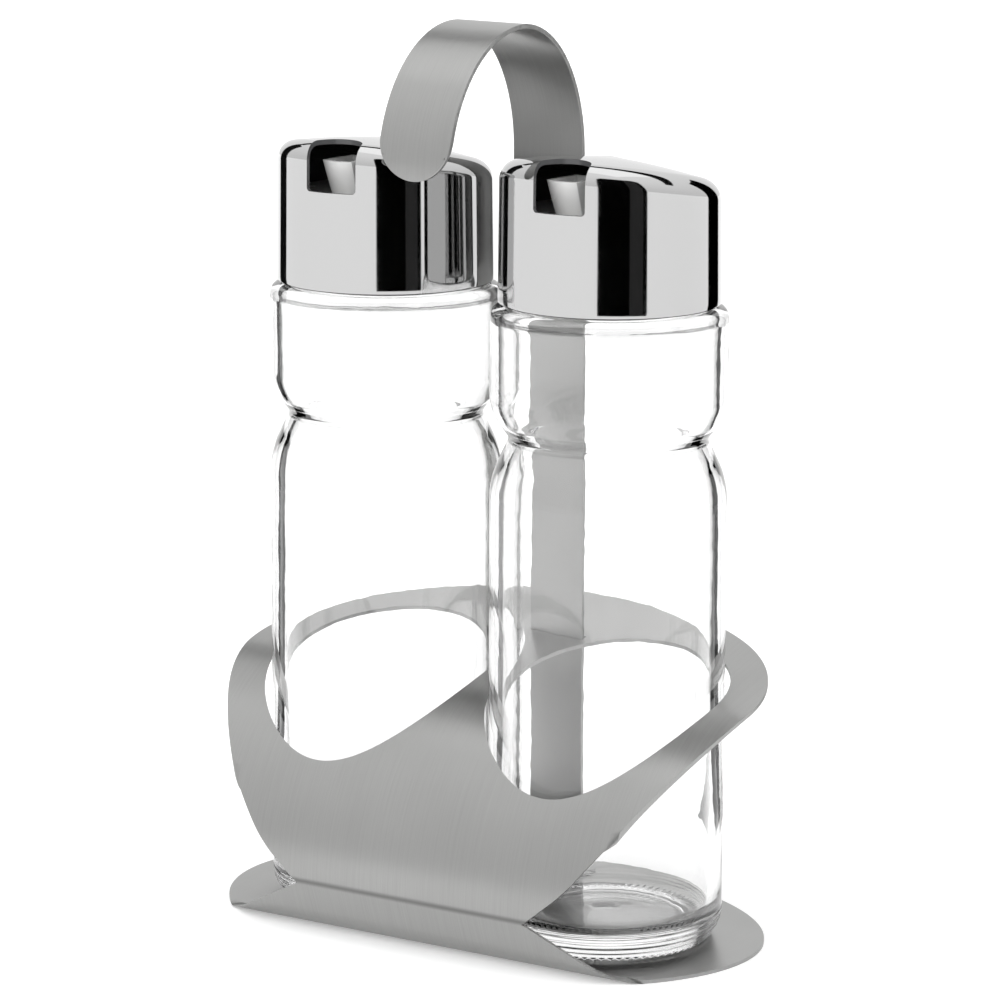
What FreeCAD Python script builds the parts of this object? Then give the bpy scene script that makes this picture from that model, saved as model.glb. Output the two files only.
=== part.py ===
# Cruet set: two glass bottles with pouring caps in a rack folded from one sheet.
# Millimetres. +Z is up, +X runs along the row of bottles, +Y points to the back.
# The origin is the centre of the rack's base, on its underside.
import FreeCAD, Part
import math
import os

V = FreeCAD.Vector
X_AXIS = V(1, 0, 0)
Z_AXIS = V(0, 0, 1)

# ---- driving dimensions -------------------------------------------------------
body_radius = 26.0            # bottle body
bottle_spacing = 58.0         # between the two bottle axes
seat_gap = 0.3                # under a standing bottle

sheet_thickness = 0.8         # rack sheet, stainless
oval_half_length = 65.3       # outline of base and collar, seen from above
oval_back = 43.3
oval_front = 47.0
base_bend_start = -26.0       # y where the base starts to curl up
base_bend_radius = 8.0
base_bend_turn = 70.0         # degrees
crease_height = 12.3
crease_radius = 1.5
front_radius = 44.8           # the front plate rolls back over this radius
collar_slope = 12.8           # degrees, rising to the back
hole_radius = 27.1            # bottle hole, seen from above
hole_spacing = 58.8
hole_centre_y = -0.4
slit_tip_x = 29.4             # half-length of the crease
slit_tip_radius = 1.1
slit_tip_height = 11.6
slit_upper_lip = ((39.4, 19.6), (47.0, 29.5))              # x and z on the way up from the tip
slit_lower_lip = ((46.0, 2.6), (50.2, 0.75), (54.6, 0.02))  # and on the way down
base_corner_radius = 5.0      # front corners of the base

strip_width = 18.0            # handle strip
strip_thickness = 1.1
strip_back = 22.6             # y of its back face
strip_foot = 13.0
strip_foot_bend = 3.0
strip_slot_play = 0.3
arch_height = 171.0           # where the handle starts to curve
arch_centre_y = -4.0
arch_rise = 31.0
arch_front = 29.6
tongue_end = 170.6            # lowest point of the handle's free end

shoulder_height = 142.2       # bottle: top of the glass shoulder
waist_height = 113.0
waist_radius = 21.6
ring_radius = 22.9            # contact ring under the bottle
glass_wall = 3.0
floor_height = 6.6
neck_radius = 20.1
bore_radius = 16.8
mouth_height = 158.0
thread_height = 1.0           # how far the thread stands out of the neck
thread_lead = 9.0

edge_rounding = 1.4           # glass: lip of the mouth, contact ring, waist
heel_height = 4.2             # where the bottle's side begins
heel_rounding = 5.0
base_dish = 2.2               # how far the middle of the bottle's base is raised
waist_foot = 103.6            # where the lower body starts to narrow
waist_head = 119.2            # where the upper body is full again

cap_rim = 142.8               # cap shell: lower edge
cap_rim_radius = 24.35
cap_top_radius = 24.0
cap_apex = 174.6
cap_slope = 10.7              # degrees, the top falls away from the spout
cap_crown_radius = 64.0
cap_edge_radius = 4.2
shell_wall = 1.1
notch_half_width = 6.2
notch_floor = 164.8
notch_centre_y = -22.0
notch_turn = 2.7              # degrees, how far the notch looks towards +X

seal_thickness = 1.3
sleeve_radius = 22.7
sleeve_bore = 21.5
sleeve_disc = 1.6
plug_radius = 16.2
plug_wall = 1.0
plug_depth = 8.0
plug_play = 0.15              # between plug and sleeve
seal_gap = 0.1                # above and below the sealing ring
sleeve_gap = 0.3              # from the seal to the sleeve's disc, which turns over it
pourer_plate = 1.3
spout_top = 171.0
spout_back = 7.0
spout_wall = 0.9
spout_sections = ((3.5, 15.2, 0.6), (3.7, 16.6, 4.0))  # half-width, reach, height over the disc
spout_lip = (4.0, 18.7)       # half-width and reach at the top
spout_flatness = 0.3          # how far the spout's front bulges, as a share of its half-width
spout_turns = {"left": -4.0, "right": -6.0}  # degrees, each pourer sits as it was pressed in
vent_radius = 1.6
vent_y = 9.0

disc_height = mouth_height + seal_gap + seal_thickness + sleeve_gap + sleeve_disc


# ---- helpers ------------------------------------------------------------------
def heading(angle):
    """Unit vector in the YZ plane; 0 points to the front, 90 points up."""
    a = math.radians(angle)
    return V(0, -math.cos(a), math.sin(a))


def folded_path(start, angle, steps):
    """Edges of a folded strip seen from the side, and where each step ends.

    A step is ("run", length) or ("bend", radius, turn); every bend turns the same way.
    """
    edges = []
    ends = [start]
    for step in steps:
        if step[0] == "run":
            end = start + heading(angle) * step[1]
            edges.append(Part.LineSegment(start, end).toShape())
        else:
            radius, turn = step[1], step[2]
            centre = start + heading(angle + 90) * radius
            middle = centre - heading(angle + turn / 2 + 90) * radius
            end = centre - heading(angle + turn + 90) * radius
            edges.append(Part.Arc(start, middle, end).toShape())
            angle += turn
        start = end
        ends.append(end)
    return edges, ends


def prism(edges, direction):
    return Part.Face(Part.Wire(edges)).extrude(direction)


def line(a, b):
    return Part.LineSegment(a, b).toShape()


def arc(a, b, c):
    return Part.Arc(a, b, c).toShape()


def turned(profile):
    """Solid of revolution about Z from a closed list of edges in the XZ plane."""
    return Part.Face(Part.Wire(profile)).revolve(V(0, 0, 0), Z_AXIS, 360)


def outline(points):
    """Closed edges through (r, z) points; a third value rounds that corner."""
    corners = [(V(p[0], 0, p[1]), p[2] if len(p) > 2 else 0) for p in points]
    edges = []
    first = None
    last = None
    for i, (corner, radius) in enumerate(corners):
        before = corners[i - 1][0]
        after = corners[(i + 1) % len(corners)][0]
        into = (corner - before).normalize()
        out = (after - corner).normalize()
        if radius:
            half_turn = into.getAngle(out) / 2
            reach = radius * math.tan(half_turn)
            start = corner - into * reach
            end = corner + out * reach
            bisector = (out - into).normalize()
            middle = corner + bisector * (radius / math.cos(half_turn) - radius)
        else:
            start = corner
            end = corner
        if last is not None and last.distanceToPoint(start) > 1e-6:
            edges.append(line(last, start))
        if radius:
            edges.append(arc(start, middle, end))
        if first is None:
            first = start
        last = end
    edges.append(line(last, first))
    return edges


def disc(radius, low, high):
    return Part.makeCylinder(radius, high - low, V(0, 0, low))


def ring(outer, inner, low, high):
    return disc(outer, low, high).cut(disc(inner, low - 1, high + 1))


# ---- rack sheet ---------------------------------------------------------------
def sheet_steps():
    """Runs and bends of the sheet's outer face, from the base's back to the collar's back."""
    bend_rise = base_bend_radius * (1 - math.cos(math.radians(base_bend_turn)))
    crease_turn = 90 - base_bend_turn
    crease_rise = crease_radius * math.cos(math.radians(base_bend_turn))
    wall_rise = crease_height - bend_rise - crease_rise / 2
    wall = wall_rise / math.sin(math.radians(base_bend_turn))
    front_turn = 90 - collar_slope
    return [
        ("run", oval_back - base_bend_start + 5),
        ("bend", base_bend_radius, base_bend_turn),
        ("run", wall),
        ("bend", crease_radius, crease_turn),
        ("bend", front_radius, front_turn),
        ("run", 60),
    ]


def oval_prism():
    """Column over the oval that base and collar are both cut to."""
    low, high = -5, 90
    right = V(oval_half_length, 0, low)
    quarter = math.pi / 2
    edges = []
    for tip_y in (oval_back, -oval_front):
        ellipse = Part.Ellipse(right, V(0, tip_y, low), V(0, 0, low))
        for turn in (0, 1):
            edges.append(Part.ArcOfEllipse(ellipse, turn * quarter, (turn + 1) * quarter).toShape())
    wire = Part.Wire(Part.__sortEdges__(edges))
    return Part.Face(wire).extrude(V(0, 0, high - low))


def slit_cutter(side):
    """What is cut away between the base's front corner and the front plate."""
    y = -70

    def at(x, z):
        return V(side * x, y, z)

    root = slit_tip_x + slit_tip_radius * 0.6
    low = slit_tip_height - slit_tip_radius
    high = slit_tip_height + slit_tip_radius
    beside, under = 90, -3
    flare, top = slit_upper_lip
    lip, middle, end = slit_lower_lip
    edges = [
        arc(at(root, low), at(slit_tip_x, slit_tip_height), at(root, high)),
        arc(at(root, high), at(*flare), at(*top)),
        line(at(*top), at(beside, top[1])),
        line(at(beside, top[1]), at(beside, under)),
        line(at(beside, under), at(end[0], under)),
        line(at(end[0], under), at(*end)),
        arc(at(*end), at(*middle), at(*lip)),
        line(at(*lip), at(root, low)),
    ]
    return prism(edges, V(0, base_bend_start - y, 0))


def rack_sheet():
    edges = folded_path(V(0, oval_back + 5, 0), 0, sheet_steps())[0]
    half = 75
    skin = Part.Wire(edges).extrude(X_AXIS * (2 * half))
    skin.translate(V(-half, 0, 0))
    skin = skin.common(oval_prism())
    cutters = [slit_cutter(side) for side in (-1, 1)]
    for side in (-1, 1):
        centre = V(side * hole_spacing / 2, hole_centre_y, crease_height)
        cutters.append(Part.makeCylinder(hole_radius, 80, centre))
    skin = Part.Shell(skin.cut(cutters).Faces)
    sheet = skin.makeOffsetShape(-sheet_thickness, 1e-3, fill=True)
    corners = [e for e in sheet.Edges if is_front_corner(e)]
    sheet = sheet.makeFillet(base_corner_radius, corners)
    slot_width = strip_width + 2 * strip_slot_play
    slot_depth = strip_thickness + 2 * strip_slot_play
    slot_start = V(-slot_width / 2, strip_back - strip_thickness - strip_slot_play, crease_height)
    return sheet.cut(Part.makeBox(slot_width, slot_depth, 80, slot_start))


def is_front_corner(edge):
    """The short edges through the sheet where the oval meets the slits' lower lips."""
    middle = edge.CenterOfMass
    near = abs(abs(middle.x) - slit_lower_lip[-1][0]) < 2 and abs(middle.y - base_bend_start) < 2
    return near and edge.Length < 1.5 * sheet_thickness


# ---- handle -------------------------------------------------------------------
def arch_quarter(reach, inset, to_front):
    """A quarter of the handle's arch in the YZ plane, moved in by inset."""
    centre = V(0, arch_centre_y, arch_height)
    top = centre + V(0, 0, arch_rise - inset)
    side = centre + V(0, (reach - inset) * (-1 if to_front else 1), 0)
    ellipse = Part.Ellipse(top, side, centre)
    if arch_rise < reach:
        ellipse = Part.Ellipse(side, top, centre)
    start, end = ellipse.parameter(top), ellipse.parameter(side)
    if abs(end - start) > math.pi:
        start += 2 * math.pi if start < end else 0
        end += 2 * math.pi if end < start else 0
    return Part.ArcOfEllipse(ellipse, min(start, end), max(start, end)).toShape()


def handle_strip():
    arch_back = strip_back - arch_centre_y
    t = strip_thickness
    bottom = sheet_thickness
    bend = strip_foot_bend
    foot_end = strip_back + strip_foot
    front = arch_centre_y - arch_front

    def at(y, z):
        return V(0, y, z)

    inner_bend = bend - t
    turn = math.sin(math.radians(45))
    corner = (strip_back - t + bend, bottom + bend)

    def bend_middle(radius):
        return at(corner[0] - radius * turn, corner[1] - radius * turn)

    edges = [
        line(at(foot_end, bottom), at(corner[0], bottom)),
        arc(at(corner[0], bottom), bend_middle(bend), at(strip_back - t, corner[1])),
        line(at(strip_back - t, corner[1]), at(strip_back - t, arch_height)),
        arch_quarter(arch_back, t, False),
        arch_quarter(arch_front, t, True),
        line(at(front + t, arch_height), at(front + t, tongue_end)),
        line(at(front + t, tongue_end), at(front, tongue_end)),
        line(at(front, tongue_end), at(front, arch_height)),
        arch_quarter(arch_front, 0, True),
        arch_quarter(arch_back, 0, False),
        line(at(strip_back, arch_height), at(strip_back, corner[1])),
        arc(at(strip_back, corner[1]), bend_middle(inner_bend), at(corner[0], bottom + t)),
        line(at(corner[0], bottom + t), at(foot_end, bottom + t)),
        line(at(foot_end, bottom + t), at(foot_end, bottom)),
    ]
    wire = Part.Wire(Part.__sortEdges__(edges))
    strip = Part.Face(wire).extrude(X_AXIS * strip_width)
    strip.translate(V(-strip_width / 2, 0, 0))
    return strip.cut([tongue_cutter(), foot_cutter(foot_end)])


def rounded_end(radius):
    """Corner waste round a half-circle end; local x is across, local y is along."""
    margin = 1
    waste = Part.makeBox(2 * radius + 2 * margin, radius + margin, 20, V(-radius - margin, 0, -10))
    return waste.cut(Part.makeCylinder(radius, 20, V(0, 0, -10)))


def tongue_cutter():
    radius = strip_width / 2
    waste = rounded_end(radius)
    waste.rotate(V(0, 0, 0), X_AXIS, -90)
    waste.translate(V(0, arch_centre_y - arch_front, tongue_end + radius))
    return waste


def foot_cutter(foot_end):
    radius = strip_width / 2
    waste = rounded_end(radius)
    waste.translate(V(0, foot_end - radius, 0))
    return waste


# ---- bottle -------------------------------------------------------------------
def bottle_outside():
    """Half section of the outer skin, from the axis under the base up to the mouth."""
    base = sheet_thickness + seat_gap
    return [
        (0, base + base_dish),
        (ring_radius - 5.9, base + base_dish - 0.6, 3),
        (ring_radius - 2.3, base, 1),
        (ring_radius + 0.6, base, edge_rounding),
        (body_radius, base + heel_height, heel_rounding),
        (body_radius, waist_foot, 9),
        (waist_radius, waist_height, edge_rounding),
        (body_radius, waist_head, 7),
        (body_radius, shoulder_height, 2.6),
        (neck_radius, shoulder_height, 0.8),
        (neck_radius, mouth_height, edge_rounding),
    ]


def bottle_inside():
    """Half section of the hollow, from the mouth down to the floor on the axis."""
    wall = body_radius - glass_wall
    return [
        (bore_radius, mouth_height, edge_rounding),
        (bore_radius, shoulder_height - 2.5, 4),
        (wall, shoulder_height - 3.6, 3),
        (wall, waist_head - 0.6, 9),
        (waist_radius - glass_wall + 0.4, waist_height, 3),
        (wall, waist_foot + 0.8, 11),
        (wall, floor_height, 4.5),
        (0, floor_height + 0.6),
    ]


def neck_thread():
    """Single rounded ridge that winds round the neck and fades into it."""
    turns = 1.1
    half_width = 1.0
    start_height = shoulder_height + 2.6
    base_radius = neck_radius - 0.4
    crest = neck_radius + thread_height
    helix = Part.makeHelix(thread_lead, thread_lead * turns, base_radius)
    section = Part.Wire([
        line(V(base_radius, 0, -half_width - 0.5), V(crest, 0, -half_width / 2)),
        line(V(crest, 0, -half_width / 2), V(crest, 0, half_width / 2)),
        line(V(crest, 0, half_width / 2), V(base_radius, 0, half_width + 0.5)),
        line(V(base_radius, 0, half_width + 0.5), V(base_radius, 0, -half_width - 0.5)),
    ])
    ridge = Part.Wire(helix.Edges).makePipeShell([section], True, True)
    ridge.translate(V(0, 0, start_height))
    return ridge


def glass_bottle():
    glass = turned(outline(bottle_outside() + bottle_inside()))
    return glass.fuse(neck_thread()).removeSplitter()


# ---- cap ----------------------------------------------------------------------
def sealing_ring():
    low = mouth_height + seal_gap
    return ring(neck_radius - 0.2, bore_radius + 0.2, low, low + seal_thickness)


def threaded_sleeve():
    low = cap_rim + 0.6
    under_disc = disc_height - sleeve_disc
    hole = plug_radius + plug_play
    return turned(outline([
        (sleeve_bore, low),
        (sleeve_radius, low),
        (sleeve_radius, disc_height, 1),
        (hole, disc_height),
        (hole, under_disc),
        (sleeve_bore, under_disc),
    ]))


def pourer():
    """Plug that sits in the mouth, with a plate above the sleeve and the pouring spout."""
    low = disc_height + 0.1
    plate_radius = sleeve_radius - 1.2
    plug_end = mouth_height - plug_depth
    body = turned(outline([
        (0, low),
        (plug_radius - plug_wall, low),
        (plug_radius - plug_wall, plug_end),
        (plug_radius, plug_end, 0.4),
        (plug_radius, low),
        (plate_radius, low),
        (plate_radius, low + pourer_plate, 0.6),
        (0, low + pourer_plate),
    ]))
    outer = spout_loft(0, disc_height, spout_top)
    inner = spout_loft(spout_wall, disc_height - 2, spout_top + 1)
    vent = Part.makeCylinder(vent_radius, 10, V(0, vent_y, disc_height - 3))
    return body.fuse(outer).cut([inner, vent]).removeSplitter()


def spout_loft(inset, foot, lip):
    """Beak of the pourer: narrow at its foot, wider and further forward at its lip."""
    sections = [(half, reach, foot + rise) for half, reach, rise in spout_sections]
    sections.append((spout_lip[0], spout_lip[1], lip))
    back = -spout_back - inset
    wires = []
    for half, reach, height in sections:
        w = half - inset
        tip = inset - reach
        shoulder = tip + w * spout_flatness
        wires.append(Part.Wire([
            line(V(-w, back, height), V(-w, shoulder, height)),
            arc(V(-w, shoulder, height), V(0, tip, height), V(w, shoulder, height)),
            line(V(w, shoulder, height), V(w, back, height)),
            line(V(w, back, height), V(-w, back, height)),
        ]))
    return Part.makeLoft(wires, True)


def cap_body(wall):
    """Solid of the cap: a slightly tapered drum with a sloping, crowned top."""
    low = cap_rim if not wall else cap_rim - 1
    high = cap_apex + 15
    taper = (cap_rim_radius - cap_top_radius) / (cap_apex - cap_rim)
    bottom_radius = cap_rim_radius - wall + taper * (cap_rim - low)
    top_radius = bottom_radius - taper * (high - low)
    drum = Part.makeCone(bottom_radius, top_radius, high - low, V(0, 0, low))
    tilt = math.radians(cap_slope)
    normal = V(0, math.sin(tilt), math.cos(tilt))
    centre = V(0, 0, cap_apex) - normal * cap_crown_radius
    body = drum.common(Part.makeSphere(cap_crown_radius - wall, centre))
    rim = [e for e in body.Edges if e.BoundBox.ZMin > cap_rim + 10 and e.BoundBox.XLength > 20]
    return body.makeFillet(cap_edge_radius - wall, rim)


def notch_cutter():
    """Upright slot with a round back, open to the front."""
    w = notch_half_width
    far = -40
    edges = [
        arc(V(-w, notch_centre_y, 0), V(0, notch_centre_y + w, 0), V(w, notch_centre_y, 0)),
        line(V(w, notch_centre_y, 0), V(w, far, 0)),
        line(V(w, far, 0), V(-w, far, 0)),
        line(V(-w, far, 0), V(-w, notch_centre_y, 0)),
    ]
    cutter = prism(edges, V(0, 0, 40))
    cutter.translate(V(0, 0, notch_floor))
    return cutter


def cap_shell():
    return cap_body(0).cut(cap_body(shell_wall)).cut(notch_cutter())


# ---- everything in place ------------------------------------------------------
def placed(shape, x, angle):
    copy = shape.copy()
    copy.rotate(V(0, 0, 0), Z_AXIS, angle)
    copy.translate(V(x, 0, 0))
    return copy


def main():
    os.makedirs("parts", exist_ok=True)
    nodes = {"rack_sheet": rack_sheet(), "handle_strip": handle_strip()}
    pieces = {
        "glass_bottle": (glass_bottle(), {}),
        "sealing_ring": (sealing_ring(), {}),
        "threaded_sleeve": (threaded_sleeve(), {}),
        "pourer": (pourer(), spout_turns),
        "cap_shell": (cap_shell(), {"left": notch_turn, "right": notch_turn}),
    }
    for name, (shape, turns) in pieces.items():
        for side, x in (("left", -bottle_spacing / 2), ("right", bottle_spacing / 2)):
            nodes[name + "_" + side] = placed(shape, x, turns.get(side, 0))
    for name, shape in nodes.items():
        shape.exportStep("parts/" + name + ".step")
        print(name, shape.ShapeType, len(shape.Solids), shape.isValid(), round(shape.Volume))


main()
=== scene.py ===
import math

import bmesh
import bpy
from mathutils import Matrix, Vector


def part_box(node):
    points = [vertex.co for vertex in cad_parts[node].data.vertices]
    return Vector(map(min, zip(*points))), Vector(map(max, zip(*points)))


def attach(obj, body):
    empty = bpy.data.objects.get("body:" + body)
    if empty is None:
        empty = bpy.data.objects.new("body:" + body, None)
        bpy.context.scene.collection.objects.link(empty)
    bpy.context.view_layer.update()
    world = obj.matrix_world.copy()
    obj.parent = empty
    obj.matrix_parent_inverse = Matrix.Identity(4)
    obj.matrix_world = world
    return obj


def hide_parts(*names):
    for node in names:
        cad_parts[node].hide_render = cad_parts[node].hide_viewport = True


# Cruet set: two pressed glass bottles with chromed pouring caps in a rack folded from one steel sheet.
# Metres, +Z up, +X along the row of bottles, +Y to the back. Settings are in millimetres.

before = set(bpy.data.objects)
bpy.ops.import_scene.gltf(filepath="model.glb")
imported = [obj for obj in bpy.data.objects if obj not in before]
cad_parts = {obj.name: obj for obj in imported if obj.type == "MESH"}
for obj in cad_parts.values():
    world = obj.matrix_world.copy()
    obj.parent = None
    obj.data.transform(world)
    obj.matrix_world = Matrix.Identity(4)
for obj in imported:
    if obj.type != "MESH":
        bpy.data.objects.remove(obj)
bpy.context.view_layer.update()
mm = 0.001
sides = ("left", "right")


def linear(hexColour):
    values = [int(hexColour[i:i + 2], 16) / 255 for i in (0, 2, 4)]
    return [v / 12.92 if v <= 0.04045 else ((v + 0.055) / 1.055) ** 2.4 for v in values] + [1]


def wire(bm, points):
    # an open chain of edges through (r, z) corners in the XZ plane; the third value is how far
    # from the corner its rounding starts, the fourth how many steps the rounding has
    verts = [bm.verts.new((p[0] * mm, 0, p[1] * mm)) for p in points]
    for a, b in zip(verts, verts[1:]):
        bm.edges.new((a, b))
    for vert, point in zip(verts, points):
        if len(point) > 2:
            bmesh.ops.bevel(bm, geom=[vert], offset=point[2] * mm, segments=point[3] if len(point) > 3 else 6,
                            profile=0.5, affect="VERTICES", material=-1)
    return bm


def plate(points):
    # the chain is closed and filled, as a flat face in the XZ plane
    bm = wire(bmesh.new(), points)
    bm.edges.new([v for v in bm.verts if len(v.link_edges) == 1])
    bmesh.ops.contextual_create(bm, geom=bm.edges[:])
    return bm


def subdivideLong(bm, longest, where=lambda point: True):
    # long straight edges get more points, so that later vertex moves have something to move
    for edge in [e for e in bm.edges if where(e.verts[0].co / mm)]:
        cuts = int(edge.calc_length() / (longest * mm))
        if cuts:
            bmesh.ops.subdivide_edges(bm, edges=[edge], cuts=cuts)


def spinRound(bm, steps):
    bmesh.ops.spin(bm, geom=bm.verts[:] + bm.edges[:], cent=(0, 0, 0), axis=(0, 0, 1),
                   angle=2 * math.pi, steps=steps, use_merge=True)
    bmesh.ops.remove_doubles(bm, verts=bm.verts, dist=1e-7)
    bmesh.ops.recalc_face_normals(bm, faces=bm.faces)


def newPiece(name, bm, materials, smoothAngle=40):
    # the bmesh becomes a named object, smooth but for its corners
    mesh = bpy.data.meshes.new(name)
    bm.to_mesh(mesh)
    bm.free()
    piece = bpy.data.objects.new(name, mesh)
    bpy.context.scene.collection.objects.link(piece)
    for material in materials:
        mesh.materials.append(material)
    mesh.shade_smooth()
    mesh.set_sharp_from_angle(angle=math.radians(smoothAngle))
    return piece


def addModifier(piece, name, kind, **settings):
    modifier = piece.modifiers.new(name, kind)
    for key, value in settings.items():
        setattr(modifier, key, value)
    return modifier


def settle(piece):
    # applies the modifiers, so that the finished shape is in the mesh
    evaluated = piece.evaluated_get(bpy.context.evaluated_depsgraph_get())
    mesh = bpy.data.meshes.new_from_object(evaluated)
    piece.modifiers.clear()
    piece.data = mesh
    return piece


def copyOf(piece, name, move):
    made = piece.copy()
    made.name = name
    made.data = piece.data.copy()
    made.data.transform(move)
    bpy.context.scene.collection.objects.link(made)
    return made


def softCopy(node, name, material, edge=0.0):
    # a CAD node's shape with welded corners, so that its curves shade smoothly and its edges can be broken
    bm = bmesh.new()
    bm.from_mesh(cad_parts[node].data)
    bmesh.ops.remove_doubles(bm, verts=bm.verts, dist=2e-6)
    bmesh.ops.dissolve_limit(bm, angle_limit=math.radians(0.05), verts=bm.verts, edges=bm.edges)
    bmesh.ops.recalc_face_normals(bm, faces=bm.faces)
    piece = newPiece(name, bm, [material], smoothAngle=30)
    if edge:
        addModifier(piece, "brokenEdge", "BEVEL", width=edge * mm, segments=2, limit_method="ANGLE",
                    angle_limit=math.radians(40), use_clamp_overlap=True, harden_normals=True)
    return piece


def node(tree, kind, settings=None, links=None):
    # adds one node, sets its sockets and properties and links its inputs
    made = tree.nodes.new(kind)
    for key, value in (settings or {}).items():
        if isinstance(key, int) or key in made.inputs:
            made.inputs[key].default_value = value
        else:
            setattr(made, key, value)
    for key, source in (links or {}).items():
        tree.links.new(source, made.inputs[key])
    return made


def newMaterial(name):
    material = bpy.data.materials.new(name)
    material.use_nodes = True
    tree = material.node_tree
    return material, tree, tree.nodes["Principled BSDF"]


def spread(tree, source, low, high):
    # turns a 0-1 pattern into a value between low and high
    return node(tree, "ShaderNodeMapRange", {"From Min": 0.3, "From Max": 0.7, "To Min": low, "To Max": high},
                {"Value": source}).outputs["Result"]


def perMetre(size):
    # pattern scale for a feature of that many millimetres
    return 1 / (size * mm)


print("materials")

brushed = {
    "steel": "B0B0AF",
    "line": "929291",
    "lineWidth": 0.17,       # real grit lines are about 0.1 mm; drawn coarser to show at all
    "lineLength": 22,
    "roughness": 0.36,
    "spread": 0.05,
    "anisotropy": 0.85,
    "lineDepth": 0.003,
    "cloudSize": 25,         # large, faint changes of gloss
    "cloudSpread": (-0.02, 0.03),
    "creaseShade": "6E6E6D",        # painted shade along the crease, standing in for the darker reflection of the tight bend
    "foldHeight": 12.2,
    "creaseShadeWidth": 0.55,
    "creaseShadeStrength": 0.8,
    "foldAhead": -30,        # only the front has the crease: y is less than this
}


def brushedStainless():
    # 18/8 stainless sheet, belt-brushed before folding: fine lines run up the front and along the handle,
    # so highlights smear sideways into soft vertical bands and the metal reads as satin mid grey
    material, tree, shader = newMaterial("brushedStainless")
    s = brushed
    coords = node(tree, "ShaderNodeTexCoord")
    stretched = node(tree, "ShaderNodeMapping", {
        "Scale": (perMetre(s["lineWidth"]), perMetre(s["lineLength"]), perMetre(s["lineLength"]))},
        {"Vector": coords.outputs["Object"]})
    lines = node(tree, "ShaderNodeTexNoise", {"Scale": 1, "Detail": 4, "Roughness": 0.7},
                 {"Vector": stretched.outputs["Vector"]})
    clouds = node(tree, "ShaderNodeTexNoise", {"Scale": perMetre(s["cloudSize"]), "Detail": 2},
                  {"Vector": coords.outputs["Object"]})
    tint = node(tree, "ShaderNodeMix", {"data_type": "RGBA"}, {"Factor": lines.outputs["Fac"]})
    tint.inputs["A"].default_value = linear(s["line"])
    tint.inputs["B"].default_value = linear(s["steel"])
    # painted shade: a darker band of colour along the front crease, standing in for the dark reflection of
    # the bend
    place = node(tree, "ShaderNodeSeparateXYZ", {}, {"Vector": coords.outputs["Object"]})
    offset = node(tree, "ShaderNodeMath", {"operation": "SUBTRACT", 1: s["foldHeight"] * mm},
                  {0: place.outputs["Z"]})
    away = node(tree, "ShaderNodeMath", {"operation": "ABSOLUTE"}, {0: offset.outputs["Value"]})
    creaseShadeFalloff = node(tree, "ShaderNodeMapRange", {
        "interpolation_type": "SMOOTHSTEP", "From Min": 0, "From Max": 2 * s["creaseShadeWidth"] * mm,
        "To Min": s["creaseShadeStrength"], "To Max": 0},
        {"Value": away.outputs["Value"]})
    atFront = node(tree, "ShaderNodeMath", {"operation": "LESS_THAN", 1: s["foldAhead"] * mm},
                   {0: place.outputs["Y"]})
    creaseShadeMask = node(tree, "ShaderNodeMath", {"operation": "MULTIPLY"},
                    {0: creaseShadeFalloff.outputs["Result"], 1: atFront.outputs["Value"]})
    folded = node(tree, "ShaderNodeMix", {"data_type": "RGBA"},
                  {"Factor": creaseShadeMask.outputs["Value"], "A": tint.outputs["Result"]})
    folded.inputs["B"].default_value = linear(s["creaseShade"])
    wear = node(tree, "ShaderNodeMath", {"operation": "ADD"}, {
        0: spread(tree, lines.outputs["Fac"], s["roughness"] - s["spread"], s["roughness"] + s["spread"]),
        1: spread(tree, clouds.outputs["Fac"], *s["cloudSpread"])})
    bump = node(tree, "ShaderNodeBump", {"Strength": 0.6, "Distance": s["lineDepth"] * mm},
                {"Height": lines.outputs["Fac"]})
    across = node(tree, "ShaderNodeCombineXYZ", {"X": 1})
    shader.inputs["Metallic"].default_value = 1
    shader.inputs["Anisotropic"].default_value = s["anisotropy"]
    tree.links.new(folded.outputs["Result"], shader.inputs["Base Color"])
    tree.links.new(wear.outputs["Value"], shader.inputs["Roughness"])
    tree.links.new(bump.outputs["Normal"], shader.inputs["Normal"])
    tree.links.new(across.outputs["Vector"], shader.inputs["Tangent"])
    return material


glass = {
    "colour": "FDFDFD",
    "ior": 1.52,
    "haze": 0.012,
    "rippleSize": 1.9,
    "rippleDepth": 0.006,
    "swellSize": 11,
    "swellDepth": 0.05,
}


def pressedGlass():
    # soda-lime bottle glass from a blow mould: clear and glossy, with a faintly uneven skin that
    # makes straight things behind it look a little ragged
    material, tree, shader = newMaterial("clearGlass")
    s = glass
    coords = node(tree, "ShaderNodeTexCoord")
    ripple = node(tree, "ShaderNodeTexNoise", {"Scale": perMetre(s["rippleSize"]), "Detail": 0},
                  {"Vector": coords.outputs["Object"]})
    swell = node(tree, "ShaderNodeTexNoise", {"Scale": perMetre(s["swellSize"]), "Detail": 1},
                 {"Vector": coords.outputs["Object"]})
    fine = node(tree, "ShaderNodeBump", {"Strength": 1, "Distance": s["rippleDepth"] * mm},
                {"Height": ripple.outputs["Fac"]})
    both = node(tree, "ShaderNodeBump", {"Strength": 1, "Distance": s["swellDepth"] * mm},
                {"Height": swell.outputs["Fac"], "Normal": fine.outputs["Normal"]})
    shader.inputs["Base Color"].default_value = linear(s["colour"])
    shader.inputs["Transmission Weight"].default_value = 1
    shader.inputs["IOR"].default_value = s["ior"]
    tree.links.new(spread(tree, swell.outputs["Fac"], 0.0, s["haze"]), shader.inputs["Roughness"])
    tree.links.new(both.outputs["Normal"], shader.inputs["Normal"])
    return material


chrome = {
    "colour": "B9B9B9",
    "haze": 0.055,
    "hazeSpread": (-0.015, 0.025),
    "wipeSize": 14,
    "orangePeel": 1.6,
    "peelDepth": 0.0006,
}


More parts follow.
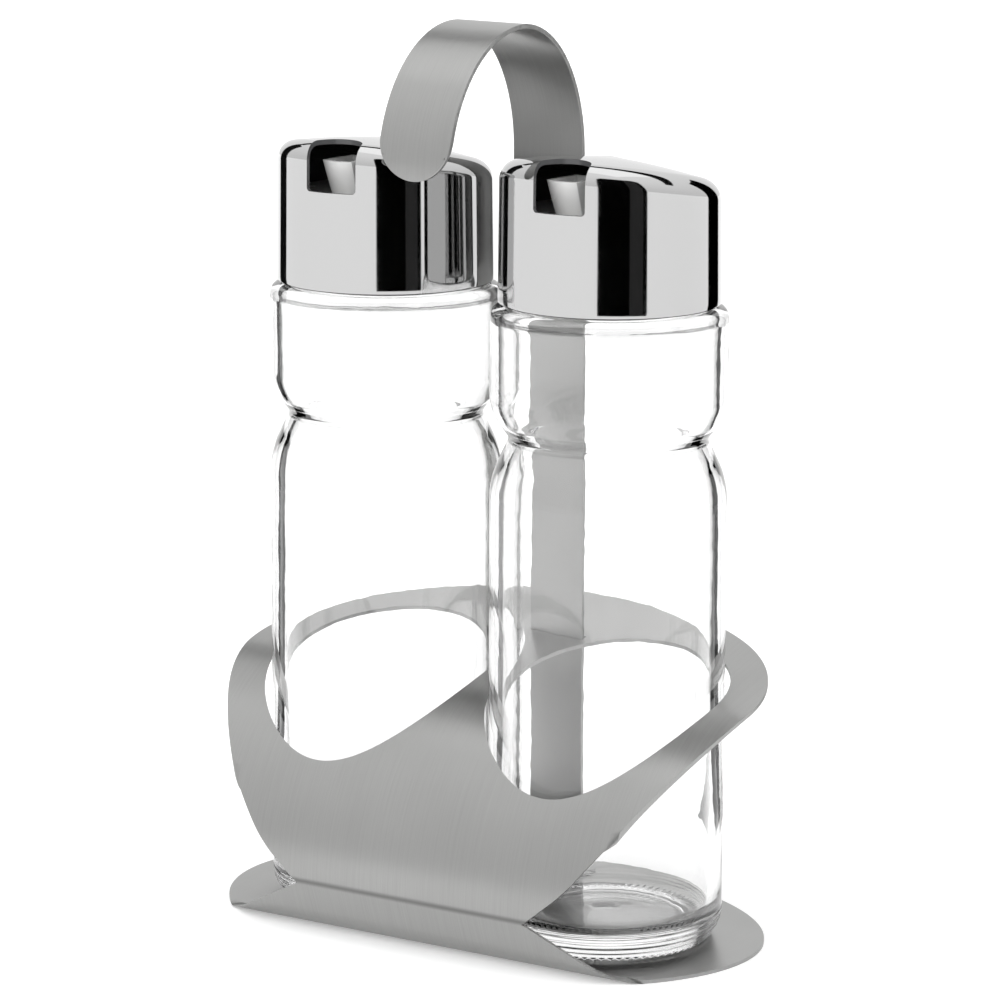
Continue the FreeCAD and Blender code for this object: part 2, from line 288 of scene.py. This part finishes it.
def chromePlate():
    # bright chrome over moulded ABS: a true mirror with a trace of orange peel and fine wiping marks
    material, tree, shader = newMaterial("chromePlate")
    s = chrome
    coords = node(tree, "ShaderNodeTexCoord")
    peel = node(tree, "ShaderNodeTexNoise", {"Scale": perMetre(s["orangePeel"]), "Detail": 1},
                {"Vector": coords.outputs["Object"]})
    wiped = node(tree, "ShaderNodeTexNoise", {
        "Scale": perMetre(s["wipeSize"]), "Detail": 5, "Roughness": 0.65},
        {"Vector": coords.outputs["Object"]})
    bump = node(tree, "ShaderNodeBump", {"Strength": 0.6, "Distance": s["peelDepth"] * mm},
                {"Height": peel.outputs["Fac"]})
    shader.inputs["Base Color"].default_value = linear(s["colour"])
    shader.inputs["Metallic"].default_value = 1
    low, high = (s["haze"] + change for change in s["hazeSpread"])
    tree.links.new(spread(tree, wiped.outputs["Fac"], low, high), shader.inputs["Roughness"])
    tree.links.new(bump.outputs["Normal"], shader.inputs["Normal"])
    return material


plastics = {
    "ior": 1.49,
    "flowSize": 9,           # slow changes of tone and gloss from the melt's flow
    "flowSpread": (-0.04, 0.05),
    # dark and light tone, roughness, size of the grain and its depth
    "greyAbsInside": ("48484A", "5A5A5B", 0.22, 0.4, 0.001),
    "greyAbsSleeve": ("D8D8D7", "E6E6E5", 0.32, 0.4, 0.002),
    "milkySilicone": ("D6D6D0", "E4E4DF", 0.45, 0.5, 0.002),
    "satinGreyAbs": ("F0F0EF", "F8F8F7", 0.24, 0.5, 0.001),
}


def mouldedPlastic(name):
    # injection-moulded polymer: even colour, a fine spark-eroded grain and slight gloss changes
    material, tree, shader = newMaterial(name)
    s = plastics
    dark, light, roughness, grain, depth = s[name]
    coords = node(tree, "ShaderNodeTexCoord")
    fine = node(tree, "ShaderNodeTexNoise", {"Scale": perMetre(grain), "Detail": 3},
                {"Vector": coords.outputs["Object"]})
    flow = node(tree, "ShaderNodeTexNoise", {"Scale": perMetre(s["flowSize"]), "Detail": 2},
                {"Vector": coords.outputs["Object"]})
    tint = node(tree, "ShaderNodeMix", {"data_type": "RGBA"}, {"Factor": flow.outputs["Fac"]})
    tint.inputs["A"].default_value = linear(dark)
    tint.inputs["B"].default_value = linear(light)
    bump = node(tree, "ShaderNodeBump", {"Strength": 0.5, "Distance": depth * mm},
                {"Height": fine.outputs["Fac"]})
    shader.inputs["IOR"].default_value = s["ior"]
    tree.links.new(tint.outputs["Result"], shader.inputs["Base Color"])
    low, high = (roughness + change for change in s["flowSpread"])
    tree.links.new(spread(tree, flow.outputs["Fac"], low, high), shader.inputs["Roughness"])
    tree.links.new(bump.outputs["Normal"], shader.inputs["Normal"])
    return material


steelSkin = brushedStainless()
glassSkin = pressedGlass()
chromeSkin = chromePlate()
insideSkin = mouldedPlastic("greyAbsInside")
sleeveSkin = mouldedPlastic("greyAbsSleeve")
sealSkin = mouldedPlastic("milkySilicone")
spoutSkin = mouldedPlastic("satinGreyAbs")


print("rack and handle")

rack = {
    "thickness": 0.8,
    "profile": [                # (y, z) of the sheet's outer face: base, curl, front, collar
        (44, 0), (-31.6, 0, 5.602, 14), (-36.07, 12.3, 0.4, 5), (-36.07, 48.1, 35.79, 40), (44, 66.32),
    ],
    "profileStep": 3,
    "columns": 44,           # the sheet is that many columns wide before its outline is cut
    "columnWidth": 3,
    "ovalHalf": 65.3,
    "ovalBack": 43.3,
    "ovalFront": 47.0,
    "ovalSegments": 192,
    "holeRadius": 27.1,
    "holeX": 29.4,
    "holeY": -0.4,
    "holeSegments": 180,
    "slit": [                # (x, z) of the right slit in the front, and the rounding of its corners
        (29.4, 11.6, 0.9, 4), (39.4, 19.9, 4, 8), (47.0, 29.5), (56, 36.4), (90, 36.4), (90, -3), (55.2, -3),
        (54.9, -0.1), (50.2, 0.7, 2, 6),
    ],
    "slot": (18.6, 1.7, 22.05),  # width, depth and y of the handle's slot in the collar
    "reach": {               # where each cutting shape starts and how far it goes
        "outline": (-10, 90),
        "hole": (8, 80),
        "slit": (-70, 44),
        "slot": (45, 30),
    },
    "merge": 0.12,           # slivers that the cuts leave are closed up
    "brokenEdge": 0.1,
    "handleEdge": 0.18,
}


def cutWith(piece, cutters, operation="DIFFERENCE"):
    # cuts the piece with closed shapes made of bmeshes, which are used up
    for bm in cutters:
        bmesh.ops.recalc_face_normals(bm, faces=bm.faces)
        cutter = newPiece("cutter", bm, piece.data.materials)
        addModifier(piece, "cut", "BOOLEAN", object=cutter, operation=operation, solver="EXACT")
        settle(piece)
        bpy.data.objects.remove(cutter)


def column(bm, height):
    # a flat face grows into a column
    grown = bmesh.ops.extrude_face_region(bm, geom=bm.faces[:])
    bmesh.ops.translate(bm, verts=[v for v in grown["geom"] if isinstance(v, bmesh.types.BMVert)], vec=height)
    return bm


def bottleHole(x):
    s = rack
    start, reach = s["reach"]["hole"]
    bm = bmesh.new()
    bmesh.ops.create_circle(bm, cap_ends=True, segments=s["holeSegments"], radius=s["holeRadius"] * mm)
    bmesh.ops.translate(bm, verts=bm.verts, vec=(x * mm, s["holeY"] * mm, start * mm))
    return column(bm, (0, 0, reach * mm))


def slitCutter(side):
    # side is 1 for the right slit and -1 for the left one
    start, reach = rack["reach"]["slit"]
    bm = plate([(side * p[0], *p[1:]) for p in rack["slit"]])
    bmesh.ops.translate(bm, verts=bm.verts, vec=(0, start * mm, 0))
    return column(bm, (0, reach * mm, 0))


def ovalCutter():
    # what the sheet's outline is cut to: a deeper half in front, a shallower one behind
    s = rack
    start, reach = s["reach"]["outline"]
    bm = bmesh.new()
    bmesh.ops.create_circle(bm, cap_ends=True, segments=s["ovalSegments"], radius=s["ovalHalf"] * mm)
    for v in bm.verts:
        v.co.y *= (s["ovalBack"] if v.co.y > 0 else s["ovalFront"]) / s["ovalHalf"]
        v.co.z = start * mm
    return column(bm, (0, 0, reach * mm))


def slotCutter():
    width, depth, y = rack["slot"]
    start, reach = rack["reach"]["slot"]
    bm = bmesh.new()
    bmesh.ops.create_cube(bm, size=mm)
    bmesh.ops.scale(bm, verts=bm.verts, vec=(width, depth, reach))
    bmesh.ops.translate(bm, verts=bm.verts, vec=(0, y * mm, (start + reach / 2) * mm))
    return bm


def rackSheet():
    # the folded profile is drawn out along X, given its gauge and then cut to its outline
    s = rack
    bm = wire(bmesh.new(), s["profile"])
    subdivideLong(bm, s["profileStep"])
    bmesh.ops.rotate(bm, verts=bm.verts, cent=(0, 0, 0), matrix=Matrix.Rotation(math.radians(90), 3, "Z"))
    bmesh.ops.translate(bm, verts=bm.verts, vec=(-s["columns"] * s["columnWidth"] / 2 * mm, 0, 0))
    row = bm.edges[:]
    for i in range(s["columns"]):
        grown = bmesh.ops.extrude_edge_only(bm, edges=row)["geom"]
        row = [e for e in grown if isinstance(e, bmesh.types.BMEdge)]
        bmesh.ops.translate(bm, verts=[v for v in grown if isinstance(v, bmesh.types.BMVert)],
                            vec=(s["columnWidth"] * mm, 0, 0))
    bmesh.ops.recalc_face_normals(bm, faces=bm.faces)
    # the base has to face down, so that the gauge grows upwards from it
    if sum(f.normal.z * f.calc_area() for f in bm.faces if f.calc_center_median().z < mm) > 0:
        bmesh.ops.reverse_faces(bm, faces=bm.faces)
    piece = newPiece("rackSheet", bm, [steelSkin], smoothAngle=30)
    addModifier(piece, "gauge", "SOLIDIFY", thickness=s["thickness"] * mm, offset=-1, use_even_offset=True)
    settle(piece)
    cutWith(piece, [ovalCutter()], "INTERSECT")
    cutWith(piece, [bottleHole(-s["holeX"]), bottleHole(s["holeX"]), slitCutter(-1), slitCutter(1),
                    slotCutter()])
    bm = bmesh.new()
    bm.from_mesh(piece.data)
    bmesh.ops.remove_doubles(bm, verts=bm.verts, dist=s["merge"] * mm)
    bmesh.ops.dissolve_degenerate(bm, edges=bm.edges, dist=1e-6)
    bm.to_mesh(piece.data)
    bm.free()
    addModifier(piece, "brokenEdge", "BEVEL", width=s["brokenEdge"] * mm, segments=2, limit_method="ANGLE",
                angle_limit=math.radians(50), harden_normals=True)
    return settle(piece)


steelPieces = {
    "rack_sheet": rackSheet(),
    "handle_strip": softCopy("handle_strip", "handleStrip", steelSkin, rack["handleEdge"]),
}
for cadNode, piece in steelPieces.items():
    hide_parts(cadNode)
    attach(piece, "rack")


print("bottles")

bottle = {
    "steps": 320,            # round the axis
    "longestEdge": 2.5,      # along the outline, and what it is in the heel
    "heelEdge": 0.4,
    "outside": [             # (radius, height), and the rounding of the corner
        (0, 3.5), (17, 2.7, 2.2), (20.6, 1.2, 0.6), (21.6, 1.1, 0.4), (23.6, 1.1, 0.8), (26, 5.3, 2.4, 8),
        (26, 103.6, 4, 12), (21.6, 113, 1, 6), (26, 119.2, 3, 12), (26, 142.2, 2.6, 10), (20.1, 142.2, 0.8),
        (20.1, 158, 1.3),
    ],
    "inside": [
        (16.8, 158, 1.3), (16.8, 141.0, 1, 4), (23.4, 140.6, 2.2, 8), (23.4, 118.6, 3, 12),
        (19.0, 113, 0.8, 6), (23.0, 104.4, 5, 12), (23.0, 6.6, 4, 8), (0, 7.2),
    ],
    "heel": (23.4, 9),       # the heel is outside this radius and below this height
    "heelRings": {"depth": 0.15, "pitch": 1.25, "middle": 5.2, "reach": 3.8},
    "beads": {"count": 80, "depth": 0.45, "radii": (20, 24.6), "top": 2.3, "base": 1.1, "fade": 1.2},
    "thread": {"start": 144.8, "radius": 19.7, "crest": 21.1, "lead": 9.0, "turns": 1.1,
               "foot": 1.3, "top": 0.5, "rounding": 0.1, "stepsPerTurn": 96},
}


def bottleBody():
    # the glass is spun, then fine rings are pressed round its heel and beads into its contact ring
    s = bottle
    rings, beads = s["heelRings"], s["beads"]
    heelRadius, heelTop = s["heel"]
    bm = wire(bmesh.new(), s["outside"] + s["inside"])
    subdivideLong(bm, s["longestEdge"])
    subdivideLong(bm, s["heelEdge"], lambda point: point.x > heelRadius and point.z < heelTop)
    spinRound(bm, s["steps"])
    for v in bm.verts:
        x, y, z = v.co / mm
        r = math.hypot(x, y)
        if r < 1:
            continue
        turn = math.atan2(y, x)
        push = 0
        if z < heelTop and r > heelRadius:
            fade = max(0, 1 - abs(z - rings["middle"]) / rings["reach"])
            push = rings["depth"] * fade * math.sin(2 * math.pi * z / rings["pitch"])
        if z < beads["top"] and beads["radii"][0] < r < beads["radii"][1]:
            wave = 0.5 + 0.5 * math.cos(beads["count"] * turn)
            v.co.z += beads["depth"] * mm * wave * max(0, 1 - (z - beads["base"]) / beads["fade"])
        v.co.x *= 1 + push / r
        v.co.y *= 1 + push / r
    return bm


def threadRidge(bm):
    # a rounded ridge that winds once round the neck
    s = bottle["thread"]
    shoulder = s["crest"] - s["rounding"]
    corners = [(s["radius"], -s["foot"]), (shoulder, -s["top"]), (s["crest"], 0), (shoulder, s["top"]),
               (s["radius"], s["foot"])]
    verts = [bm.verts.new((r * mm, 0, (s["start"] + z) * mm)) for r, z in corners]
    edges = [bm.edges.new(pair) for pair in zip(verts, verts[1:] + verts[:1])]
    steps = int(s["stepsPerTurn"] * s["turns"])
    face = bm.faces.new(verts)
    bmesh.ops.spin(bm, geom=[face] + edges + verts, cent=(0, 0, 0), axis=(0, 0, 1), steps=steps,
                   dvec=(0, 0, s["lead"] * s["turns"] / steps * mm), angle=2 * math.pi * s["turns"])


def axisOf(cadNode):
    # the move from the origin to that CAD node's own axis
    low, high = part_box(cadNode)
    return Matrix.Translation(((low.x + high.x) / 2, 0, 0))


ridge = bmesh.new()
threadRidge(ridge)
oneBottle = newPiece("glassBottle", bottleBody(), [glassSkin], smoothAngle=50)
cutWith(oneBottle, [ridge], "UNION")
for side in sides:
    piece = copyOf(oneBottle, "glassBottle_" + side, axisOf("glass_bottle_" + side))
    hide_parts("glass_bottle_" + side)
    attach(piece, "bottle_" + side)
bpy.data.objects.remove(oneBottle)


print("caps")

cap = {
    "steps": 256,
    "longestEdge": 1.2,
    "profile": [             # (radius, height) from the inner edge of the rim to the crown
        (23.4, 142.8), (24.32, 142.8, 0.5, 4), (24.0, 171.1, 3.9, 16), (12.2, 173.4, 6, 12), (0, 174.62),
    ],
    "slope": 10.7,           # the top falls away from the spout by this many degrees
    "slopeFrom": 146,        # the slope starts at this height and is full at the next
    "slopeFull": 171,
    "wall": 1.1,
    "brokenEdge": 0.16,
    "notchHalf": 6.2,
    "notchFloor": 164.8,
    "notchTall": 20,
    "notchBack": -15.8,
    "notchFront": -30,
    "notchRound": 0.99,      # of the half-width, at the back's corners
    "notchFillet": 0.8,
    "notchTurn": 2.7,
    "innerEdge": 0.15,       # on the pourer, the sleeve and the ring
}


def capOutside():
    s = cap
    bm = wire(bmesh.new(), s["profile"])
    subdivideLong(bm, s["longestEdge"])
    spinRound(bm, s["steps"])
    rise = math.tan(math.radians(s["slope"]))
    for v in bm.verts:
        # points only move up or down, and more the higher they are: the rim stays level and the top slopes
        share = min(1, max(0, (v.co.z / mm - s["slopeFrom"]) / (s["slopeFull"] - s["slopeFrom"])))
        v.co.z -= v.co.y * rise * share * share * (3 - 2 * share)
    return bm


def notchCutter():
    # an upright slot with a round back and soft lower corners, open to the front
    s = cap
    half, back, front = s["notchHalf"], s["notchBack"], s["notchFront"]
    rounding = half * s["notchRound"]
    bm = plate([(-half, front), (-half, back, rounding, 16), (half, back, rounding, 16), (half, front)])
    bmesh.ops.rotate(bm, verts=bm.verts, cent=(0, 0, 0), matrix=Matrix.Rotation(math.radians(-90), 3, "X"))
    bmesh.ops.translate(bm, verts=bm.verts, vec=(0, 0, s["notchFloor"] * mm))
    floorEdges = bm.edges[:]
    column(bm, (0, 0, s["notchTall"] * mm))
    bmesh.ops.bevel(bm, geom=floorEdges, offset=s["notchFillet"] * mm, segments=4, profile=0.5,
                    affect="EDGES", material=-1)
    bmesh.ops.rotate(bm, verts=bm.verts, cent=(0, 0, 0),
                     matrix=Matrix.Rotation(math.radians(s["notchTurn"]), 3, "Z"))
    for face in bm.faces:
        face.material_index = 1  # the cut faces are bare plastic
    return bm


def capShell():
    piece = newPiece("capShell", capOutside(), [chromeSkin, insideSkin], smoothAngle=30)
    addModifier(piece, "wall", "SOLIDIFY", thickness=cap["wall"] * mm, offset=-1, material_offset=1,
                use_even_offset=True)
    settle(piece)
    cutWith(piece, [notchCutter()])
    addModifier(piece, "brokenEdge", "BEVEL", width=cap["brokenEdge"] * mm, segments=3, limit_method="ANGLE",
                angle_limit=math.radians(50), harden_normals=True)
    return settle(piece)


oneCap = capShell()
for side in sides:
    piece = copyOf(oneCap, "capShell_" + side, axisOf("threaded_sleeve_" + side))
    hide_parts("cap_shell_" + side)
    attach(piece, "cap_" + side)

    for cadNode, name, skin, slotName, body in (
            ("pourer_", "pourer_", spoutSkin, "grey_plastic", "cap_"),
            ("threaded_sleeve_", "threadedSleeve_", sleeveSkin, "grey_plastic", "cap_"),
            ("sealing_ring_", "sealingRing_", sealSkin, "clear_silicone", "cap_seal_")):
        part = softCopy(cadNode + side, name + side, skin, cap["innerEdge"])
        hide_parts(cadNode + side)
        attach(part, body + side)
bpy.data.objects.remove(oneCap)


print("studio")

studio = {                   # lengths here are in metres
    "level": 1.03,           # light of the room at eye level and from the ceiling
    "ceiling": 1.3,
    "lamp": {"watts": 0.8, "size": (0.9, 0.7), "height": 1.0},
    "floor": {"radius": 4, "tone": "F6F6F6", "roughness": 0.9},
    "floorGlow": 0.26,       # keeps the sweep white where the set shades it
    # dark boards round the set: from and to in degrees from the front, distance, height, tone, and
    # whether the glass shows them; the glass gets narrower ones, so that its dark edges stay thin
    "cards": [
        (21, 52, 0.55, 0.62, "000000", False),
        (52, 65, 0.55, 0.62, "2E2E2E", False),
        (65, 69, 0.55, 0.62, "000000", False),
        (146, 172, 0.50, 0.45, "000000", False),
        (-112, -94, 0.50, 0.45, "303030", False),
        (150, 168, 0.49, 0.45, "000000", True),
        (-110, -95, 0.49, 0.45, "101010", True),
    ],
    "cardFoot": 0.001,       # clear of the floor
    "front": (45, 24),       # middle and half-width of the front boards, whose top corners are round
    "rounding": 0.1,
    "mats": [                # (from, to, near, far, tone): dark mats on the floor, for the glass's dark edges
        (150, 168, 0.1, 0.49, "101010"),
        (-110, -95, 0.1, 0.49, "101010"),
    ],
    "matHeight": 0.002,
    "bar": (2.4, 0.2, 0.42, 0.92, "101010"),  # overhead and behind: length, width, y, z and tone
}

world = bpy.data.worlds.new("paleRoom")
bpy.context.scene.world = world
world.use_nodes = True
sky = world.node_tree
skyHeight = node(sky, "ShaderNodeSeparateXYZ", {}, {
    "Vector": node(sky, "ShaderNodeTexCoord").outputs["Generated"]})
skyLight = node(sky, "ShaderNodeMapRange", {
    "From Min": 0.1, "From Max": 0.8, "To Min": studio["level"], "To Max": studio["ceiling"]},
    {"Value": skyHeight.outputs["Z"]})
sky.nodes["Background"].inputs["Color"].default_value = (1, 1, 1, 1)
sky.links.new(skyLight.outputs["Result"], sky.nodes["Background"].inputs["Strength"])

floorBm = bmesh.new()
bmesh.ops.create_circle(floorBm, cap_ends=True, segments=64, radius=studio["floor"]["radius"])
floorSkin, _, floorShader = newMaterial("paleFloor")
floorShader.inputs["Base Color"].default_value = linear(studio["floor"]["tone"])
floorShader.inputs["Roughness"].default_value = studio["floor"]["roughness"]
floorShader.inputs["Emission Color"].default_value = (1, 1, 1, 1)
floorShader.inputs["Emission Strength"].default_value = studio["floorGlow"]
floor = newPiece("floor", floorBm, [floorSkin])


def cardPiece(name, bm, tone, shades=False, throughGlass=True):
    # a matt board that only shows in reflections and, where asked, through the glass
    skin, _, shader = newMaterial(name)
    shader.inputs["Base Color"].default_value = linear(tone)
    shader.inputs["Roughness"].default_value = 1
    shader.inputs["Specular IOR Level"].default_value = 0
    card = newPiece(name, bm, [skin])
    card.visible_camera = False
    card.visible_diffuse = card.visible_shadow = shades
    card.visible_transmission = throughGlass


def sweep(ends, start, end, steps):
    # a line between two (distance, height) points, swept round the set from one bearing to another
    turn = math.radians(start)
    bm = bmesh.new()
    verts = [bm.verts.new((r * math.sin(turn), -r * math.cos(turn), z)) for r, z in ends]
    edge = bm.edges.new(verts)
    bmesh.ops.spin(bm, geom=verts + [edge], cent=(0, 0, 0), axis=(0, 0, 1),
                   angle=math.radians(end - start), steps=steps)
    return bm


middle, halfWidth = studio["front"]
for i, (start, end, distance, height, tone, throughGlass) in enumerate(studio["cards"]):
    bm = sweep([(distance, studio["cardFoot"]), (distance, height)], start, end, 24)
    for v in bm.verts:
        across = (math.degrees(math.atan2(v.co.x, -v.co.y)) - middle) / halfWidth
        if v.co.z > studio["cardFoot"] * 2 and abs(across) < 1.001:
            v.co.z -= studio["rounding"] * across ** 8
    cardPiece("card%d" % i, bm, tone, throughGlass=throughGlass)

for i, (start, end, near, far, tone) in enumerate(studio["mats"]):
    bm = sweep([(near, studio["matHeight"]), (far, studio["matHeight"])], start, end, 16)
    cardPiece("mat%d" % i, bm, tone)

length, width, y, z, tone = studio["bar"]
bm = bmesh.new()
bmesh.ops.create_grid(bm, x_segments=1, y_segments=1, size=0.5)
bmesh.ops.scale(bm, verts=bm.verts, vec=(length, width, 1))
bmesh.ops.rotate(bm, verts=bm.verts, cent=(0, 0, 0), matrix=Matrix.Rotation(-math.atan2(y, z), 3, "X"))
bmesh.ops.translate(bm, verts=bm.verts, vec=(0, y, z))
cardPiece("bar", bm, tone, shades=True)

lamp = bpy.data.lights.new("overhead", "AREA")
lamp.shape = "RECTANGLE"
lamp.size, lamp.size_y = studio["lamp"]["size"]
lamp.energy = studio["lamp"]["watts"]
lampObject = bpy.data.objects.new("overhead", lamp)
lampObject.location = (0, 0, studio["lamp"]["height"])
bpy.context.scene.collection.objects.link(lampObject)

view = {                     # degrees and millimetres, from the middle of the base's underside
    "azimuth": 31.99,
    "elevation": 12.046,
    "roll": 0.187,
    "distance": 1010.4,
    "aimRight": 0.99,
    "aimHeight": 95.57,
    "lens": 163.99,
    "sensor": 36,
}
turn, tilt, roll = (math.radians(view[key]) for key in ("azimuth", "elevation", "roll"))
forward = Vector((-math.sin(turn) * math.cos(tilt), math.cos(turn) * math.cos(tilt), -math.sin(tilt)))
right = Vector((math.cos(turn), math.sin(turn), 0))
up = right.cross(forward)
aim = Vector((0, 0, view["aimHeight"] * mm)) + right * view["aimRight"] * mm
place = aim - forward * view["distance"] * mm
axes = Matrix((right * math.cos(roll) + up * math.sin(roll),
               up * math.cos(roll) - right * math.sin(roll), -forward)).transposed()
cameraData = bpy.data.cameras.new("view")
cameraData.lens = view["lens"]
cameraData.sensor_width = view["sensor"]
camera = bpy.data.objects.new("view", cameraData)
camera.matrix_world = Matrix.Translation(place) @ axes.to_4x4()
bpy.context.scene.collection.objects.link(camera)
bpy.context.scene.camera = camera
bpy.context.scene.view_settings.view_transform = "Standard"

print("done")
